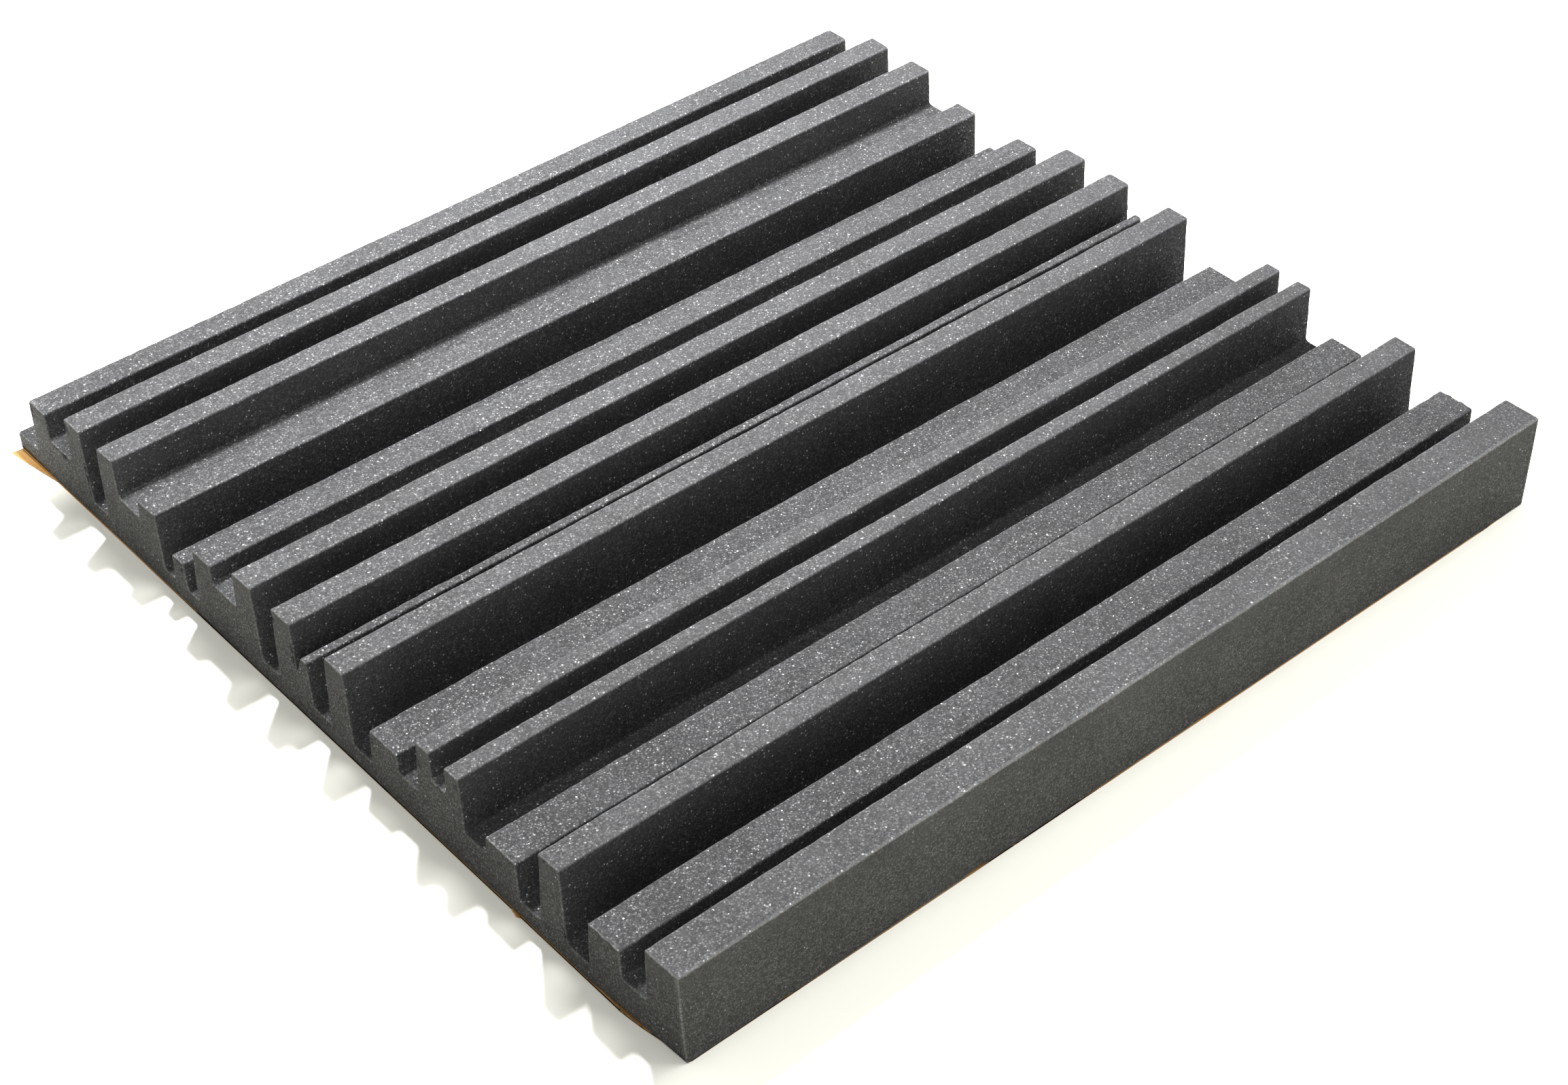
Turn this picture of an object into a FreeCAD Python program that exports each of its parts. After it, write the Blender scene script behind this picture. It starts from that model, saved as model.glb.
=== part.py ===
import FreeCAD, Part
import math
import os

# Self-adhesive acoustic foam panel with straight ribs of unequal width and height.
# Millimetres. The panel lies on its back: X runs across the ribs, Y along them, Z up.
# The origin is the centre of the back, on the outer face of the release liner.
# Widths are taken at half depth, and heights are above the foam's own back.

# Run of the ribs, which is the panel's length along Y
rib_run = 500.0

# Rib widths
sliver_rib = 5.0
slim_rib = 10.0
plain_rib = 15.0
broad_rib = 20.0

# Groove widths
slit_groove = 5.0
slim_groove = 10.0
plain_groove = 15.0
broad_groove = 20.0

# Crest heights
stub_crest = 25.0
low_crest = 30.0
middle_crest = 35.0
high_crest = 40.0
full_crest = 50.0

# Heights of the groove floors, from the web left under the deepest grooves up
web_floor = 10.0
step_floor = 20.0
slit_floor = 25.0
bench_floor = 25.0
shelf_floor = 30.0
notch_floor = 35.0

# Lean of each wall, which makes a rib narrower at its crest than at its foot
wall_lean_deg = 2.4

# Width to which the slit beside the sliver rib closes at its bottom
slit_bottom = 1.0

# Roundings left by the cutting
crest_radius = 1.0
foot_radius = 1.6
slit_radius = 0.45

# Release liner with its adhesive film
liner_thickness = 0.2

# Tapered tongue of the liner that stands out past the near end at the low edge
tongue_reach = 5.0
tongue_slant = 2.5
tongue_hold = 17.0
tongue_run = 41.0

# Ribs in order from the low edge: groove before the rib, its floor, the rib's width and its crest
ribs = [
    (broad_groove, web_floor, plain_rib, high_crest),
    (broad_groove, bench_floor, plain_rib, full_crest),
    (plain_groove, web_floor, plain_rib, full_crest),
    (broad_groove, shelf_floor, plain_rib, high_crest),
    (slim_groove, web_floor, slim_rib, stub_crest),
    (slim_groove, web_floor, plain_rib, high_crest),
    (broad_groove, shelf_floor, plain_rib, full_crest),
    (plain_groove, web_floor, plain_rib, full_crest),
    (slit_groove, slit_floor, sliver_rib, middle_crest),
    (plain_groove, web_floor, plain_rib, full_crest),
    (plain_groove, web_floor, broad_rib, low_crest),
    (plain_groove, step_floor, slim_rib, full_crest),
    (slim_groove, notch_floor, slim_rib, full_crest),
    (plain_groove, step_floor, broad_rib, low_crest),
    (plain_groove, web_floor, plain_rib, full_crest),
    (plain_groove, web_floor, broad_rib, middle_crest),
    (plain_groove, step_floor, broad_rib, full_crest),
]

# The sliver rib is the one that the slit comes before
sliver_place = 8

panel_width = sum(groove + rib for groove, floor, rib, crest in ribs)
west = -panel_width / 2
east = panel_width / 2
south = -rib_run / 2


def lean(crest, floor):
    """Distance of a wall's crest and foot from its line at half depth."""
    return math.tan(math.radians(wall_lean_deg)) * (crest - floor) / 2


def section_corners():
    """Corners of the section as (x, height, radius), from the low edge's back corner clockwise."""
    corners = [(west, 0.0, 0.0), (west, ribs[0][1], crest_radius)]
    x = west
    for place, (groove, floor, rib, crest) in enumerate(ribs):
        in_slit = place == sliver_place
        x += groove
        left_foot = corners[-1][0] + slit_bottom if in_slit else x - lean(crest, floor)
        corners.append((left_foot, floor, slit_radius if in_slit else foot_radius))
        corners.append((x + lean(crest, floor), crest, crest_radius))
        x += rib
        if place + 1 < len(ribs):
            next_floor = ribs[place + 1][1]
            next_radius = slit_radius if place + 1 == sliver_place else foot_radius
            corners.append((x - lean(crest, next_floor), crest, crest_radius))
            corners.append((x + lean(crest, next_floor), next_floor, next_radius))
        else:
            corners.append((x, crest, crest_radius))
    return corners + [(east, 0.0, 0.0)]


def rounded_corner(before, corner, after, radius):
    """Start, middle and end of the arc that rounds a corner, no longer than its two sides allow."""
    inward = (before - corner).normalize()
    outward = (after - corner).normalize()
    half_opening = inward.getAngle(outward) / 2
    shorter_side = min(before.distanceToPoint(corner), after.distanceToPoint(corner))
    setback = min(radius / math.tan(half_opening), 0.48 * shorter_side)
    radius = setback * math.tan(half_opening)
    bisector = (inward + outward).normalize()
    middle = corner + bisector * (radius / math.sin(half_opening) - radius)
    return corner + inward * setback, middle, corner + outward * setback


def section_wire():
    """Closed outline of the foam's section at its near end."""
    corners = section_corners()
    points = [FreeCAD.Vector(x, south, liner_thickness + height) for x, height, radius in corners]
    edges = []
    last = None
    first = None
    for index, corner in enumerate(points):
        radius = corners[index][2]
        after = points[(index + 1) % len(points)]
        if radius > 0:
            start, middle, end = rounded_corner(points[index - 1], corner, after, radius)
        else:
            start, middle, end = corner, None, corner
        if last is None:
            first = start
        else:
            edges.append(Part.LineSegment(last, start).toShape())
        if middle is not None:
            edges.append(Part.Arc(start, middle, end).toShape())
        last = end
    edges.append(Part.LineSegment(last, first).toShape())
    return Part.Wire(edges)


def make_foam_panel():
    """Foam: the rounded section run along the whole length of the ribs."""
    return Part.Face(section_wire()).extrude(FreeCAD.Vector(0, rib_run, 0))


def make_release_liner():
    """Liner: a thin sheet under the whole back, with its tongue past the near end."""
    near = south - tongue_reach
    outline = [
        (west, south),
        (west + tongue_slant, near),
        (west + tongue_hold, near),
        (west + tongue_run, south),
        (east, south),
        (east, south + rib_run),
        (west, south + rib_run),
    ]
    points = [FreeCAD.Vector(x, y, 0) for x, y in outline]
    sheet = Part.Face(Part.makePolygon(points + points[:1]))
    return sheet.extrude(FreeCAD.Vector(0, 0, liner_thickness))


os.makedirs("parts", exist_ok=True)
for node, shape in (("foam_panel", make_foam_panel()), ("release_liner", make_release_liner())):
    if not shape.isValid() or len(shape.Solids) != 1:
        raise RuntimeError(node + " is not one valid solid")
    shape.exportStep("parts/" + node + ".step")
    box = shape.BoundBox
    sides = "%.1f x %.1f x %.1f mm" % (box.XLength, box.YLength, box.ZLength)
    print(node, "%.0f mm3" % shape.Volume, sides)
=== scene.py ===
import math

import bmesh
import bpy
import numpy as np
from mathutils import Matrix, Vector, geometry, noise


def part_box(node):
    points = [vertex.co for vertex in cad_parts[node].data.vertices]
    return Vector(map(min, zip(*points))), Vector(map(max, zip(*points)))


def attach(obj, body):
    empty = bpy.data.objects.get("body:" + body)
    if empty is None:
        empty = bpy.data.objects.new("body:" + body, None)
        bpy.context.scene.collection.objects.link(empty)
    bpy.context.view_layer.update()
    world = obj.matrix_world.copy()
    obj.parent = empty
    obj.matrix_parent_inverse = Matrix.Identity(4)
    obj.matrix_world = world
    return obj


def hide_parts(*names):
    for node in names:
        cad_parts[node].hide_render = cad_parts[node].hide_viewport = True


# Self-adhesive acoustic foam panel on its release liner, seen from its high edge and near end.
# The geometry is worked out in millimetres, and each mesh is made in metres.
# X runs across the ribs, Y along them, Z up; the origin is the centre of the back.
MM = 0.001

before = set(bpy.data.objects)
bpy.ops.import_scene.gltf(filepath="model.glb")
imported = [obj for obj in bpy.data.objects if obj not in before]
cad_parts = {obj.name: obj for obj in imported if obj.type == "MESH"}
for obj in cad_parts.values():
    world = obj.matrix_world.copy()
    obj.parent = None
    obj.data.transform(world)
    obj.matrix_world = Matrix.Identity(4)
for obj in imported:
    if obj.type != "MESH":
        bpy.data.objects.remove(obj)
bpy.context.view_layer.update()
foam_low, foam_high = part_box("foam_panel")

# Extents of the foam, from the frame
west = foam_low.x / MM
east = foam_high.x / MM
south = foam_low.y / MM
north = foam_high.y / MM
back = foam_low.z / MM

# Rib widths, groove widths, crest heights and floor heights of the section
sliver_rib, slim_rib, plain_rib, broad_rib = 5.0, 10.0, 15.0, 20.0
slit_groove, slim_groove, plain_groove, broad_groove = 5.0, 10.0, 15.0, 20.0
stub_crest, low_crest, middle_crest, high_crest, full_crest = 25.0, 30.0, 35.0, 40.0, 50.0
web_floor, step_floor, slit_floor, bench_floor = 10.0, 20.0, 25.0, 25.0
shelf_floor, notch_floor = 30.0, 35.0
wall_lean_deg = 2.4
slit_bottom = 1.0

# Groove before the rib, its floor, the rib's width and its crest, from the low edge
ribs = [
    (broad_groove, web_floor, plain_rib, high_crest),
    (broad_groove, bench_floor, plain_rib, full_crest),
    (plain_groove, web_floor, plain_rib, full_crest),
    (broad_groove, shelf_floor, plain_rib, high_crest),
    (slim_groove, web_floor, slim_rib, stub_crest),
    (slim_groove, web_floor, plain_rib, high_crest),
    (broad_groove, shelf_floor, plain_rib, full_crest),
    (plain_groove, web_floor, plain_rib, full_crest),
    (slit_groove, slit_floor, sliver_rib, middle_crest),
    (plain_groove, web_floor, plain_rib, full_crest),
    (plain_groove, web_floor, broad_rib, low_crest),
    (plain_groove, step_floor, slim_rib, full_crest),
    (slim_groove, notch_floor, slim_rib, full_crest),
    (plain_groove, step_floor, broad_rib, low_crest),
    (plain_groove, web_floor, plain_rib, full_crest),
    (plain_groove, web_floor, broad_rib, middle_crest),
    (plain_groove, step_floor, broad_rib, full_crest),
]

# The sliver rib is the one that the slit comes before
sliver_place = 8

# Roundings of the foam's edges
crest_radius = 1.7
foot_radius = 1.8
slit_radius = 0.45
back_radius = 0.5
end_radius = 0.9

# Fineness of the foam's mesh
arc_steps = 3
wall_step = 8.0
back_step = 60.0
row_step = 2.5
end_step = 3.5
end_clearance = 0.45 * end_step

# Unevenness of the cut foam: size of each kind and the length over which it repeats
swell_size, swell_length = 0.30, 38.0
lump_size, lump_length = 0.16, 5.0
arris_size, arris_length = 0.20, 2.2
end_wave_size, end_wave_length = 0.30, 12.0
ragged_size, ragged_length = 0.40, 6.0

# Height above the back over which the unevenness grows, and over which the ragged edge dies away
even_height = 1.5
ragged_height = 2.5

# How the soft sheet lies a little out of true
low_ribs_turn, low_ribs_reach, low_ribs_fade = 3.0, 115.0, 46.0
middle_ribs_turn, middle_ribs_place, middle_ribs_spread = 1.2, 70.0, 90.0
near_tuck, near_tuck_start, near_tuck_depth = 2.8, 215.0, 40.0
near_sag, near_sag_middle, near_sag_spread, near_sag_depth = 1.4, 75.0, 90.0, 50.0

# Places along the high edge where the foam's back edge is torn up a little: (y, width, height)
nicks = [(-98.0, 12.0, 1.5), (38.0, 24.0, 1.4), (-198.0, 7.0, 1.0)]
nick_depth = 2.0

# How far in from the outside a point still counts as on the rim, and as on one of the two long sides,
# which get painted bounce light
rim_depth = 0.6
side_depth = 0.3

# Share of the painted edge highlight on crest edges other than the one along the high edge
inner_edge_highlight = 0.5


def lean(crest, floor):
    """Distance of a wall's crest and foot from its line at half depth."""
    return math.tan(math.radians(wall_lean_deg)) * (crest - floor) / 2


def section_corners():
    """Corners of the section as (x, height, radius), from the low edge's back corner clockwise."""
    corners = [(west, 0.0, back_radius), (west, ribs[0][1], crest_radius)]
    x = west
    for place, (groove, floor, rib, crest) in enumerate(ribs):
        in_slit = place == sliver_place
        x += groove
        left_foot = corners[-1][0] + slit_bottom if in_slit else x - lean(crest, floor)
        corners.append((left_foot, floor, slit_radius if in_slit else foot_radius))
        corners.append((x + lean(crest, floor), crest, crest_radius))
        x += rib
        if place + 1 < len(ribs):
            next_floor = ribs[place + 1][1]
            next_radius = slit_radius if place + 1 == sliver_place else foot_radius
            corners.append((x - lean(crest, next_floor), crest, crest_radius))
            corners.append((x + lean(crest, next_floor), next_floor, next_radius))
        else:
            corners.append((x, crest, crest_radius))
    return corners + [(east, 0.0, back_radius)]


def rounded_corner(before, corner, after, radius):
    """Points round a corner, on a curve no longer than its two sides allow."""
    inward = (before - corner).normalized()
    outward = (after - corner).normalized()
    shorter_side = min((before - corner).length, (after - corner).length)
    setback = min(radius / math.tan(inward.angle(outward) / 2), 0.48 * shorter_side)
    start = corner + inward * setback
    end = corner + outward * setback
    steps = [step / arc_steps for step in range(arc_steps + 1)]
    return [start * (1 - t) ** 2 + corner * 2 * t * (1 - t) + end * t * t for t in steps]


def section_outline():
    """The section as arrays x, z, arris and crest: 1 on the rounded crest edges, and 1 at crest level."""
    corners = section_corners()
    places = [Vector((x, back + height)) for x, height, radius in corners]
    outline = []
    at_crest = 0.0
    for index, corner in enumerate(places):
        after = places[(index + 1) % len(places)]
        radius = corners[index][2]
        turn = rounded_corner(places[index - 1], corner, after, radius)
        if outline:
            outline += straight(outline[-1], turn[0], at_crest, wall_step)
        # The ledge along the low edge has a crest's rounding, but lies as deep as a floor
        at_crest = 1.0 if radius == crest_radius and corners[index][1] > web_floor else 0.0
        for step, point in enumerate(turn):
            outline.append((point, at_crest if 0 < step < arc_steps else 0.0, at_crest))
    outline += straight(outline[-1], outline[0][0], 0.0, back_step)
    x = np.array([point.x for point, arris, crest in outline])
    z = np.array([point.y for point, arris, crest in outline])
    arris = np.array([arris for point, arris, crest in outline])
    return x, z, arris, np.array([crest for point, arris, crest in outline])


def straight(last, end, crest, longest):
    """Outline points that divide a straight stretch, without its two ends."""
    start = last[0]
    count = math.ceil((end - start).length / longest)
    return [(start.lerp(end, step / count), 0.0, crest) for step in range(1, count)]


def outward_normals(x, z):
    """Unit normals of the closed outline, which runs clockwise seen from the near end."""
    along_x = np.roll(x, -1) - np.roll(x, 1)
    along_z = np.roll(z, -1) - np.roll(z, 1)
    length = np.hypot(along_x, along_z)
    return -along_z / length, along_x / length


def row_stations():
    """Each row's (y, inset), with the rounded edge of both end faces."""
    angles = [0, math.pi / 6, math.pi / 3]
    edge = [(end_radius * (1 - math.cos(a)), end_radius * (1 - math.sin(a))) for a in angles]
    start = south + end_radius
    end = north - end_radius
    count = round((end - start) / row_step)
    near = [(south + depth, inset) for depth, inset in edge]
    middle = [(start + (end - start) * step / count, 0.0) for step in range(count + 1)]
    far = [(north - depth, inset) for depth, inset in reversed(edge)]
    return near + middle + far


def waves(points, length, seed):
    """Smooth noise between -1 and 1 at each point."""
    shift = Vector((seed * 17.3, seed * 5.1, seed * 9.7))
    flat = points.reshape(-1, 3) / length
    values = [noise.noise(Vector(point) + shift) for point in flat]
    return np.array(values).reshape(points.shape[:-1])


def out_of_true(points):
    """Moves the points by the sheet's slight turns, as it lies relaxed on a table."""
    x, y, z = points[..., 0], points[..., 1], points[..., 2]
    along = -y / north
    near_low_edge = np.clip((west + low_ribs_reach - x) / low_ribs_fade, 0, 1)
    middle = np.exp(-(((x - middle_ribs_place) / middle_ribs_spread) ** 2))
    turn = along * (low_ribs_turn * near_low_edge - middle_ribs_turn * middle)
    moved = points.copy()
    moved[..., 0] = np.maximum(x + turn, west)
    at_corner = np.clip((x - near_tuck_start) / (east - near_tuck_start), 0, 1)
    at_near_end = np.clip((south + near_tuck_depth - y) / near_tuck_depth, 0, 1)
    low_down = np.clip(1 - z / full_crest, 0, 1)
    moved[..., 1] = y + near_tuck * at_corner * at_near_end * low_down
    across = ((x - near_sag_middle) / near_sag_spread) ** 2
    sag = near_sag * np.exp(-across - (y - south) / near_sag_depth)
    moved[..., 2] = z - sag * np.clip(z / full_crest, 0, 1)
    return moved


def back_edge_lift(points):
    """Height by which the cut back edge stands off the liner, ragged all round and torn at the nicks."""
    x, y, z = points[..., 0], points[..., 1], points[..., 2]
    lift = ragged_size * np.abs(waves(points, ragged_length, 5))
    for place, width, height in nicks:
        across = np.clip(1 - (2 * np.abs(y - place) / width) ** 4, 0, 1)
        lift = np.where(x > east - nick_depth, np.maximum(lift, height * across), lift)
    on_long_rim = (x < west + rim_depth) | (x > east - rim_depth)
    on_end_rim = (y < south + rim_depth) | (y > north - rim_depth)
    return lift * (on_long_rim | on_end_rim) * np.clip(1 - (z - back) / ragged_height, 0, 1)


def end_filling(x, z):
    """Points on a grid inside the section, and the triangles over them and the outline."""
    outline = np.stack([x, z], -1)
    across, up = np.meshgrid(np.arange(west + end_step, east, end_step),
                             np.arange(back + end_step, back + full_crest, end_step))
    grid = np.stack([across.ravel(), up.ravel()], -1)
    gap = np.array([np.hypot(*(outline - point).T).min() for point in grid])
    grid = grid[gap > end_clearance]
    ring = list(range(len(outline)))[::-1]
    flat = [Vector(point) for point in np.concatenate([outline, grid])]
    found = geometry.delaunay_2d_cdt(flat, [], [ring], 1, 1e-5)
    triangles = [[found[3][corner][0] for corner in face] for face in found[2]]
    used = sorted({corner for face in triangles for corner in face if corner >= len(outline)})
    place = {corner: len(outline) + index for index, corner in enumerate(used)}
    triangles = [[place.get(corner, corner) for corner in face] for face in triangles]
    return np.array([flat[corner] for corner in used]), triangles


def make_foam():
    """The foam panel: its section run along the ribs, with the unevenness of cut foam."""
    x, z, arris, crest = section_outline()
    normal_x, normal_z = outward_normals(x, z)
    stations = row_stations()
    points = np.zeros((len(stations), len(x), 3))
    for row, (y, inset) in enumerate(stations):
        points[row, :, 0] = x - normal_x * inset
        points[row, :, 1] = y
        points[row, :, 2] = z - normal_z * inset
    lift = swell_size * waves(points, swell_length, 1)
    lift += lump_size * waves(points, lump_length, 2)
    lift += arris_size * arris * waves(points, arris_length, 3)
    lift *= np.clip((points[..., 2] - back) / even_height, 0, 1)
    raised = back_edge_lift(points)
    points[..., 0] += lift * normal_x
    points[..., 2] += lift * normal_z + raised
    at_end = np.array([inset > 0 for y, inset in stations], float)[:, None]
    points[..., 1] += at_end * end_wave(points)
    rows, columns = points.shape[:2]

    inside, triangles = end_filling(x, z)
    near_points = np.stack([inside[:, 0], np.full(len(inside), south), inside[:, 1]], -1)
    far_points = near_points + (0, north - south, 0)
    for end_points in (near_points, far_points):
        end_points[:, 1] += end_wave(end_points)
    everything = np.concatenate([points.reshape(-1, 3), near_points, far_points])
    everything = out_of_true(everything)

    faces = []
    for row in range(rows - 1):
        low = row * columns
        high = low + columns
        for column in range(columns):
            beside = (column + 1) % columns
            faces.append((low + column, low + beside, high + beside, high + column))
    last_row = (rows - 1) * columns
    inner = rows * columns
    for triangle in triangles:
        near = [corner if corner < columns else inner + corner - columns for corner in triangle]
        far = [corner + last_row if corner < columns else inner + len(inside) + corner - columns
               for corner in reversed(triangle)]
        faces += [near, far]
    mesh = bpy.data.meshes.new("foam")
    mesh.from_pydata([tuple(point * MM) for point in everything], [], faces)
    mesh.polygons.foreach_set("use_smooth", [True] * len(faces))
    # Painted highlight on the rounded edges of the crests and end faces, carried by the mesh as its arris
    # value
    end_edge_highlight = np.array([0 < inset < end_radius for y, inset in stations], float)[:, None]
    edge_highlight_share = np.where(x > east - 2 * crest_radius, 1.0, inner_edge_highlight)
    painted_edge_highlight = np.maximum((arris * edge_highlight_share)[None, :], end_edge_highlight)
    # The two long sides, painted lighter as if lit by light bounced off the table
    outer = np.broadcast_to((x > east - side_depth) | (x < west + side_depth), painted_edge_highlight.shape)
    at_crest = np.broadcast_to(crest, painted_edge_highlight.shape)
    for name, share in (("arris", painted_edge_highlight), ("outer", outer), ("crest", at_crest)):
        values = np.concatenate([share.ravel(), np.zeros(2 * len(inside))])
        mesh.attributes.new(name, "FLOAT", "POINT").data.foreach_set("value", values)
    return bpy.data.objects.new("foam", mesh)


def end_wave(points):
    """How far the cut end faces stand in or out."""
    return end_wave_size * waves(points, end_wave_length, 4)


# Release liner: a thin sheet that shows along the foot only where it stands proud
liner_inset = 2.2
liner_step = 3.0
liner_corner = 1.0

# Where it stands proud, as (start, end, most) along the near end and along the high edge
near_proud = [(-97.0, -86.0, 0.4), (204.0, 231.0, 0.4)]
side_proud = [(-139.0, -131.0, 0.5), (-112.0, -102.0, 0.3), (-87.0, -64.0, 0.3), (12.0, 24.0, 0.2),
              (49.0, 66.0, 0.4), (199.0, 249.0, 0.3)]
proud_wave, proud_wave_rate = 0.25, 1.3

# Tongue of the liner past the near end, at the low edge
tongue_run = 38.0
tongue_hold = 4.0
tongue_reach = 5.9
tongue_corner, tongue_corner_share = 2.5, 0.92
tongue_taper = 0.9
tongue_crease = 22.0
tongue_curl = 0.9
tongue_fold, tongue_fold_width = 0.35, 2.5
tongue_rows = 5

# Shred of liner that hangs out from under the near end
shred_start, shred_end = 144.0, 150.5
shred_reach = 1.5
shred_root = 1.0
shred_lift, shred_twist = 0.25, 0.35
shred_steps = 6
shred_thickness = 0.12


def proud(place, stretches):
    """How far the liner stands past the foam at a place along an edge."""
    reach = -liner_inset
    for start, end, most in stretches:
        if start < place < end:
            share = (place - start) / (end - start)
            wave = 1 - proud_wave + proud_wave * math.sin(place * proud_wave_rate)
            reach += (most + liner_inset) * math.sin(math.pi * share) ** 0.5 * wave
    return reach


def tongue_edge(run):
    """How far the tongue reaches past the near end, at a distance from the low edge."""
    if run < tongue_corner:
        return tongue_reach * (tongue_corner_share + (1 - tongue_corner_share) * run / tongue_corner)
    if run < tongue_hold:
        return tongue_reach
    share = (tongue_run - run) / (tongue_run - tongue_hold)
    return tongue_reach * max(0.0, share) ** tongue_taper


def under_foam(x, y):
    """The liner's place under the foam, which lies a little out of true."""
    moved = out_of_true(np.array([[x, y, 0.0]]))[0]
    return moved[0], moved[1]


def make_liner():
    """The liner as one surface with thickness, its tongue lifted a little and creased."""
    thickness = back
    count = round((east - west) / liner_step)
    steps = [west + (east - west) * step / count for step in range(count + 1)]
    tongue_places = [place for place in steps if place - west < tongue_run]
    near_edge = [(max(place, west + liner_corner), south) for place in tongue_places]
    near_edge += [(place, south - proud(place, near_proud)) for place in steps[len(tongue_places):]]
    side_edge = [(east + proud(place, side_proud), place) for place in steps[1:]]
    far_edge = [(place, north - liner_inset) for place in reversed(steps[:-1])]
    low_edge = [(west + liner_inset, place) for place in reversed(steps[1:-1])]
    outline = [under_foam(x, y) for x, y in near_edge + side_edge + far_edge + low_edge]
    body = bmesh.new()
    verts = [body.verts.new((x * MM, y * MM, thickness * MM)) for x, y in outline]
    sheet = body.faces.new(verts)
    last_row = verts[:len(tongue_places) + 1]
    for row in range(1, tongue_rows + 1):
        share = row / tongue_rows
        next_row = []
        for vert in last_row:
            run = vert.co.x / MM - west
            y = south - tongue_edge(run) * share
            lift = tongue_curl * share ** 2 * max(0.0, 1 - run / tongue_crease)
            fold = tongue_fold * share * math.exp(-(((run - tongue_crease) / tongue_fold_width) ** 2))
            next_row.append(body.verts.new((vert.co.x, y * MM, (thickness + lift + fold) * MM)))
        for column in range(len(last_row) - 1):
            face = body.faces.new((next_row[column], next_row[column + 1],
                                   last_row[column + 1], last_row[column]))
            face.smooth = True
        last_row = next_row
    bmesh.ops.triangulate(body, faces=[sheet], ngon_method="EAR_CLIP")
    bmesh.ops.remove_doubles(body, verts=body.verts, dist=0.01 * MM)
    return thin_piece("liner", body, thickness)


def thin_piece(name, body, thickness):
    """An object from a surface, thickened downwards."""
    mesh = bpy.data.meshes.new(name)
    body.to_mesh(mesh)
    body.free()
    piece = bpy.data.objects.new(name, mesh)
    solid = piece.modifiers.new("thickness", "SOLIDIFY")
    solid.thickness = thickness * MM
    solid.offset = -1
    return piece


def make_shred():
    """A small torn shred of the liner, twisted a little."""
    body = bmesh.new()
    rows = []
    for step in range(shred_steps + 1):
        share = step / shred_steps
        x = shred_start + (shred_end - shred_start) * share
        reach = shred_reach * math.sin(math.pi * share) ** 0.6 * (0.8 + 0.2 * math.cos(9 * share))
        height = back + shred_lift + shred_twist * math.sin(5 * share)
        rows.append([body.verts.new((x * MM, (south + shred_root) * MM, (back + 0.1) * MM)),
                     body.verts.new((x * MM, (south - 0.4 * reach) * MM, height * MM)),
                     body.verts.new((x * MM, (south - reach - 0.1) * MM, 0.6 * height * MM))])
    for one, two in zip(rows, rows[1:]):
        for strip in (0, 1):
            face = body.faces.new((one[strip + 1], two[strip + 1], two[strip], one[strip]))
            face.smooth = True
    return thin_piece("liner_shred", body, shred_thickness)


def put(tree, kind, inputs=None, **settings):
    """Adds a node, sets it, and gives each input a value or a link."""
    made = tree.nodes.new(kind)
    for name, value in settings.items():
        setattr(made, name, value)
    for name, value in (inputs or {}).items():
        if isinstance(value, bpy.types.NodeSocket):
            tree.links.new(value, made.inputs[name])
        else:
            made.inputs[name].default_value = value
    return made


def sum_of(tree, first, second):
    """Output of first plus second, each a socket or a number."""
    return put(tree, "ShaderNodeMath", {0: first, 1: second}, operation="ADD").outputs[0]


def less_of(tree, first, second):
    """Output of first less second."""
    return put(tree, "ShaderNodeMath", {0: first, 1: second}, operation="SUBTRACT").outputs[0]


def product_of(tree, first, second):
    """Output of first times second."""
    return put(tree, "ShaderNodeMath", {0: first, 1: second}, operation="MULTIPLY").outputs[0]


def larger_of(tree, first, second):
    """Output of the larger of the two."""
    return put(tree, "ShaderNodeMath", {0: first, 1: second}, operation="MAXIMUM").outputs[0]


def noise_of(tree, place, size, detail):
    """A noise texture whose blotches are of about the given size."""
    inputs = {"Vector": place, "Scale": 1 / size, "Detail": detail}
    return put(tree, "ShaderNodeTexNoise", inputs).outputs


def cells_of(tree, place, size):
    """Cells of about the given size, each with a random colour."""
    return put(tree, "ShaderNodeTexVoronoi", {"Vector": place, "Scale": 1 / size}).outputs


def channels_of(tree, colour):
    """The red, green and blue of a colour."""
    return put(tree, "ShaderNodeSeparateColor", {"Color": colour}).outputs


def axes_of(tree, vector):
    """The X, Y and Z of a vector."""
    return put(tree, "ShaderNodeSeparateXYZ", {0: vector}).outputs


def attribute_of(tree, name):
    """Output of a value that the mesh carries at its points."""
    return put(tree, "ShaderNodeAttribute", attribute_name=name).outputs["Fac"]


def blend_of(tree, share, first, second):
    """Output of a colour mix from first to second."""
    made = put(tree, "ShaderNodeMix", {"Factor": share, 6: first, 7: second}, data_type="RGBA")
    return made.outputs[2]


def ramp_of(tree, value, low, high, start=0.0, end=1.0):
    """Output of a smooth step of value from low to high."""
    inputs = {"Value": value, "From Min": low, "From Max": high, "To Min": start, "To Max": end}
    made = put(tree, "ShaderNodeMapRange", inputs, interpolation_type="SMOOTHSTEP")
    return made.outputs["Result"]


def new_material(name):
    """A material with its node tree, its Principled shader and the object's coordinates."""
    material = bpy.data.materials.new(name)
    material.use_nodes = True
    tree = material.node_tree
    shader = tree.nodes["Principled BSDF"]
    coordinates = tree.nodes.new("ShaderNodeTexCoord").outputs["Object"]
    return material, tree, shader, coordinates


def turn_of(tree, colour, reach):
    """A random tilt from a colour: its distance from mid grey, times reach."""
    middle = put(tree, "ShaderNodeVectorMath", {0: colour, 1: (0.5, 0.5, 0.5)}, operation="SUBTRACT")
    return scaled(tree, middle.outputs[0], reach)


def scaled(tree, vector, factor):
    """Output of a vector times a number or a socket."""
    return put(tree, "ShaderNodeVectorMath", {0: vector, "Scale": factor}, operation="SCALE").outputs[0]


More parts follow.
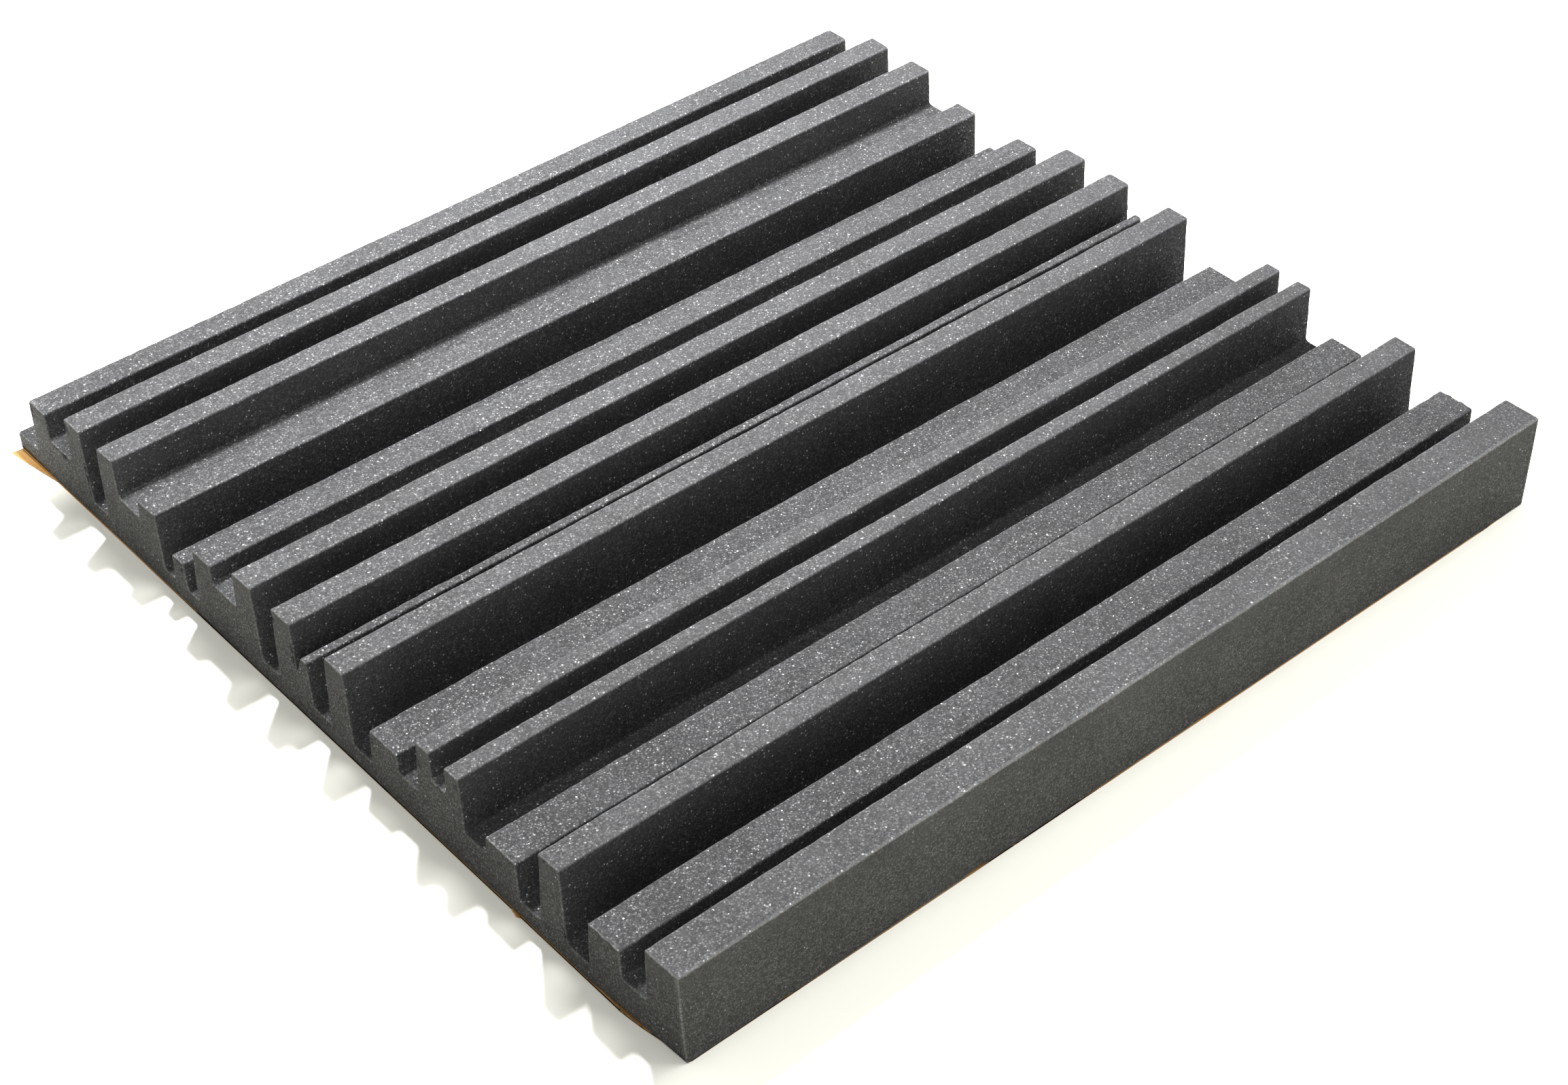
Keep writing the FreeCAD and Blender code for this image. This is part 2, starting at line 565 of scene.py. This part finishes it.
def painted_sky_light_share(tree, facing, height, crest):
    """How much a point looks up at the open sky, as painted sky light: least on walls and deep floors,
    which get painted shade, most on tall crests.
    """
    facing_up = ramp_of(tree, facing["Z"], 0.1, 0.8)
    on_crest = product_of(tree, crest, ramp_of(tree, height, 30 * MM, 52 * MM, 0.72, 1.0))
    on_floor = ramp_of(tree, height, 22 * MM, 34 * MM, 0.1, 0.85)
    return product_of(tree, facing_up, larger_of(tree, on_floor, on_crest))


def shaded_pore_share(tree, place):
    """Where a few cells of the foam are open pores, painted dark as the shade inside them."""
    pore_size = 3.1 * MM
    pores = cells_of(tree, place, pore_size)
    chosen = ramp_of(tree, channels_of(tree, pores["Color"])["Red"], 0.6, 0.8)
    return product_of(tree, ramp_of(tree, pores["Distance"], 0.20, 0.08), chosen)


def foam_material():
    """Charcoal open-cell foam: a dark matt skeleton with small flat facets that glint, and some pores,
    with painted sky light and shade, painted glints, edge highlights and bounce light.
    """
    material, tree, shader, place = new_material("foam")
    skeleton = (0.078, 0.0785, 0.081, 1)
    painted_glint_grey = (0.135, 0.136, 0.142, 1)
    painted_glint_white = (0.95, 0.95, 0.98)
    plain_cast = (1.0, 1.0, 1.0, 1)
    painted_warm_cast = (1.05, 1.04, 0.94, 1)
    grain_size = 0.7 * MM
    cell_size = 0.95 * MM
    cloud_size = 30 * MM
    cell_tone = 0.24

    # The cells are turned askew, so that no row of them lines up with the ribs
    askew = put(tree, "ShaderNodeMapping", {"Vector": place, "Rotation": (0.61, 0.43, 0.29)}).outputs[0]
    grain = noise_of(tree, place, grain_size, 2.0)
    cells = cells_of(tree, askew, cell_size)
    per_cell = channels_of(tree, cells["Color"])
    chance = per_cell["Blue"]
    size = product_of(tree, chance, 0.14)
    on_facet = ramp_of(tree, less_of(tree, cells["Distance"], size), 0.42, 0.26)

    # Where the point is: how it faces, how high it lies, and whether it is an end face or a long side,
    # where warm bounce light is painted
    surface = tree.nodes.new("ShaderNodeNewGeometry").outputs["Normal"]
    facing = axes_of(tree, surface)
    height = axes_of(tree, place)["Z"]
    # Painted sky light: tops painted lighter, and walls and deep floors painted darker as shade
    painted_sky_light = painted_sky_light_share(tree, facing, height, attribute_of(tree, "crest"))
    contrast = ramp_of(tree, height, 30 * MM, 48 * MM, 1.0, 0.5)
    end_on = put(tree, "ShaderNodeMath", {0: facing["Y"]}, operation="ABSOLUTE").outputs[0]
    outer = attribute_of(tree, "outer")
    bounce_lit_face = larger_of(tree, outer, ramp_of(tree, end_on, 0.5, 0.9))

    # Each shade: a value, its low and high, and the factor on the tone at either; random cloud and grain,
    # then painted shade and painted light
    cloud = noise_of(tree, place, cloud_size, 3.0)
    shades = [
        (cloud["Fac"], 0.3, 0.7, 0.90, 1.10),
        (grain["Fac"], 0.3, 0.7, 0.82, 1.18),
        # painted shade in the pores
        (shaded_pore_share(tree, askew), 0.0, 1.0, 1.0, 0.5),
        # painted sky light on tops, painted shade on walls and deep floors
        (painted_sky_light, 0.0, 1.0, 0.85, 1.68),
        # painted highlight on the rounded edges
        (attribute_of(tree, "arris"), 0.0, 1.0, 1.0, 2.1),
        # painted bounce light on the long sides
        (outer, 0.0, 1.0, 1.0, 1.62),
    ]
    by_cell = product_of(tree, ramp_of(tree, per_cell["Green"], 0.0, 1.0, -cell_tone, cell_tone), contrast)
    tone = sum_of(tree, by_cell, 1.0)
    for value, low, high, tone_at_low, tone_at_high in shades:
        tone = product_of(tree, tone, ramp_of(tree, value, low, high, tone_at_low, tone_at_high))

    # Colour: skeleton and facets, toned, the facets painted a little paler as faint glints, and about one
    # cell in forty painted pale as a bright glint, brighter on walls
    lit_chance = put(tree, "ShaderNodeMath", {0: chance, 1: 2.0}, operation="POWER").outputs[0]
    # Painted glints: facets painted paler by chance
    base = blend_of(tree, product_of(tree, on_facet, lit_chance), skeleton, painted_glint_grey)
    # Painted warm cast of light bounced off the table, on the end faces and long sides
    painted_cast = blend_of(tree, bounce_lit_face, plain_cast, painted_warm_cast)
    cast_base = put(tree, "ShaderNodeVectorMath", {0: base, 1: painted_cast}, operation="MULTIPLY").outputs[0]
    # Painted glints: rare pale cells, fewer on the end faces and long sides
    fewer = less_of(tree, product_of(tree, bounce_lit_face, 0.02), per_cell["Red"])
    painted_glint = product_of(tree, on_facet, ramp_of(tree, fewer, -0.965, -0.985))
    painted_glint_colour = scaled(tree, painted_glint_white, ramp_of(tree, painted_sky_light, 0.0, 1.0, 0.7, 0.5))
    colour = blend_of(tree, painted_glint, scaled(tree, cast_base, tone), painted_glint_colour)
    tree.links.new(colour, shader.inputs["Base Color"])

    # Gloss: a coat on the facets, which are tilted at random
    grain_turn = turn_of(tree, grain["Color"], 1.0)
    facet_turn = turn_of(tree, cells["Color"], 1.3)
    gloss_normal = turned_normal(tree, turned_normal(tree, surface, facet_turn), grain_turn)
    swing = product_of(tree, ramp_of(tree, on_facet, 0.0, 1.0, -0.40, 0.55), contrast)
    in_the_open = ramp_of(tree, painted_sky_light, 0.0, 1.0, 0.4, 1.0)
    open_cells = product_of(tree, sum_of(tree, swing, 0.45), in_the_open)
    tree.links.new(turned_normal(tree, surface, grain_turn), shader.inputs["Normal"])
    tree.links.new(gloss_normal, shader.inputs["Coat Normal"])
    tree.links.new(larger_of(tree, open_cells, painted_glint), shader.inputs["Coat Weight"])
    tree.links.new(ramp_of(tree, chance, 0.80, 0.97, 0.55, 0.34), shader.inputs["Coat Roughness"])
    shader.inputs["Coat IOR"].default_value = 2.5
    shader.inputs["Roughness"].default_value = 0.8
    shader.inputs["Specular IOR Level"].default_value = 0.3
    return material


def turned_normal(tree, normal, turn):
    """Output of a unit normal tilted by a vector."""
    tilted = put(tree, "ShaderNodeVectorMath", {0: normal, 1: turn}, operation="ADD").outputs[0]
    return put(tree, "ShaderNodeVectorMath", {0: tilted}, operation="NORMALIZE").outputs[0]


def liner_material():
    """Amber coated paper: fine fibres, slow changes of tone and a soft gloss."""
    material, tree, shader, place = new_material("liner")
    amber = (0.98, 0.59, 0.23, 1)
    brown = (0.86, 0.45, 0.13, 1)
    fibre_size = 0.9 * MM
    cloud_size = 22 * MM
    fibre_relief = 0.05 * MM
    stretched = put(tree, "ShaderNodeMapping", {"Vector": place, "Scale": (1.0, 0.3, 1.0)}).outputs[0]
    fibres = noise_of(tree, stretched, fibre_size, 4.0)["Fac"]
    cloud = noise_of(tree, place, cloud_size, 3.0)["Fac"]
    share = sum_of(tree, product_of(tree, fibres, 0.5), product_of(tree, cloud, 0.5))
    colour = blend_of(tree, ramp_of(tree, share, 0.35, 0.65), brown, amber)
    tree.links.new(colour, shader.inputs["Base Color"])
    tree.links.new(ramp_of(tree, fibres, 0.3, 0.7, 0.34, 0.5), shader.inputs["Roughness"])
    relief = {"Height": fibres, "Strength": 0.25, "Distance": fibre_relief}
    tree.links.new(put(tree, "ShaderNodeBump", relief).outputs[0], shader.inputs["Normal"])
    return material


def floor_material():
    """White table: matt, and brighter where the camera, gloss or glass sees it."""
    material, tree, shader = new_material("floor")[:3]
    shader.inputs["Base Color"].default_value = (0.84, 0.83, 0.76, 1)
    shader.inputs["Roughness"].default_value = 0.95
    shader.inputs["Specular IOR Level"].default_value = 0.0
    as_seen = (3.1, 3.08, 2.8, 1)
    as_mirrored = (1.0, 1.0, 0.96, 1)
    path = tree.nodes.new("ShaderNodeLightPath").outputs
    mirrored = larger_of(tree, path["Is Glossy Ray"], path["Is Transmission Ray"])
    seen = put(tree, "ShaderNodeBsdfDiffuse", {"Color": blend_of(tree, mirrored, as_seen, as_mirrored)})
    is_seen = larger_of(tree, path["Is Camera Ray"], mirrored)
    mixed = put(tree, "ShaderNodeMixShader", {0: is_seen, 1: shader.outputs[0], 2: seen.outputs[0]})
    tree.links.new(mixed.outputs[0], tree.nodes["Material Output"].inputs["Surface"])
    return material


def make_floor():
    """A wide table top, just under the panel."""
    half = 20.0
    height = -0.05 * MM
    mesh = bpy.data.meshes.new("floor")
    corners = [(-half, -half, height), (half, -half, height), (half, half, height), (-half, half, height)]
    mesh.from_pydata(corners, [], [(0, 1, 2, 3)])
    floor = bpy.data.objects.new("floor", mesh)
    floor.data.materials.append(floor_material())
    bpy.context.scene.collection.objects.link(floor)


def make_world():
    """Pale studio: white near the horizon and dimmer overhead."""
    world = bpy.data.worlds.new("surroundings")
    world.use_nodes = True
    tree = world.node_tree
    direction = tree.nodes.new("ShaderNodeTexCoord").outputs["Generated"]
    horizon, overhead = 0.9, 0.16
    strength = ramp_of(tree, axes_of(tree, direction)["Z"], 0.15, 0.45, horizon, overhead)
    sky = tree.nodes["Background"]
    sky.inputs["Color"].default_value = (1.0, 1.0, 1.0, 1)
    tree.links.new(strength, sky.inputs["Strength"])
    bpy.context.scene.world = world


def make_lamp(name, place, aim, size, power, spread_deg=180.0):
    """A round lamp aimed at a point, its light gathered where the spread is under 180 degrees."""
    data = bpy.data.lights.new(name, "AREA")
    data.shape = "DISK"
    data.size = size
    data.energy = power
    data.spread = math.radians(spread_deg)
    hang_lamp(name, data, place, aim)


def make_spot(name, place, aim, radius, power, cone_deg):
    """A small lamp with a soft-edged cone aimed at a point."""
    data = bpy.data.lights.new(name, "SPOT")
    data.shadow_soft_size = radius
    data.energy = power
    data.spot_size = math.radians(cone_deg)
    data.spot_blend = 1.0
    hang_lamp(name, data, place, aim)


def hang_lamp(name, data, place, aim):
    """Puts a lamp at its place, turned towards the point that it lights."""
    lamp = bpy.data.objects.new(name, data)
    lamp.location = place
    lamp.rotation_euler = (Vector(aim) - Vector(place)).to_track_quat("-Z", "Y").to_euler()
    bpy.context.scene.collection.objects.link(lamp)


def make_camera():
    """The photograph's viewpoint, over the corner between the high edge and the near end."""
    place = (0.79223, -0.65672, 0.83362)
    azimuth = math.radians(49.6795)
    elevation = math.radians(40.4110)
    roll = math.radians(0.6983)
    forward = Vector((-math.sin(azimuth) * math.cos(elevation),
                      math.cos(azimuth) * math.cos(elevation), -math.sin(elevation)))
    level = forward.cross(Vector((0, 0, 1))).normalized()
    down = forward.cross(level)
    right = level * math.cos(roll) + down * math.sin(roll)
    up = level * math.sin(roll) - down * math.cos(roll)
    data = bpy.data.cameras.new("camera")
    data.sensor_width = 36.0
    data.lens = 64.83
    camera = bpy.data.objects.new("camera", data)
    turn = Matrix((right, up, -forward)).transposed()
    camera.matrix_world = Matrix.Translation(place) @ turn.to_4x4()
    bpy.context.scene.collection.objects.link(camera)
    bpy.context.scene.camera = camera


def join_frame(piece, node, material):
    """Puts a piece in the scene in place of its CAD node."""
    bpy.context.scene.collection.objects.link(piece)
    piece.data.materials.append(material)
    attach(piece, "root")
    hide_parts(node)


make_camera()
foam = make_foam()
join_frame(foam, "foam_panel", foam_material())
liner_paper = liner_material()
join_frame(make_liner(), "release_liner", liner_paper)
join_frame(make_shred(), "release_liner", liner_paper)
make_floor()
make_world()

# Places and aims in metres: the key over the low ribs, a wide soft lamp, a small one for glints,
# and a narrow one on the liner's tongue
panel_middle = (0.0, 0.0, 0.0)
make_lamp("key", (-0.325, 0.22, 0.98), (-0.32, -0.05, 0.0), size=0.18, power=6.4, spread_deg=120.0)
make_lamp("soft", (0.45, 0.50, 1.60), panel_middle, size=1.0, power=5.0)
make_lamp("spark", (0.70, 0.20, 1.10), panel_middle, size=0.05, power=0.15)
make_spot("corner", (-0.30, -0.42, 0.90), (-0.250, -0.260, 0.0), radius=0.02, power=24.0, cone_deg=6.5)

bpy.context.scene.view_settings.view_transform = "Standard"
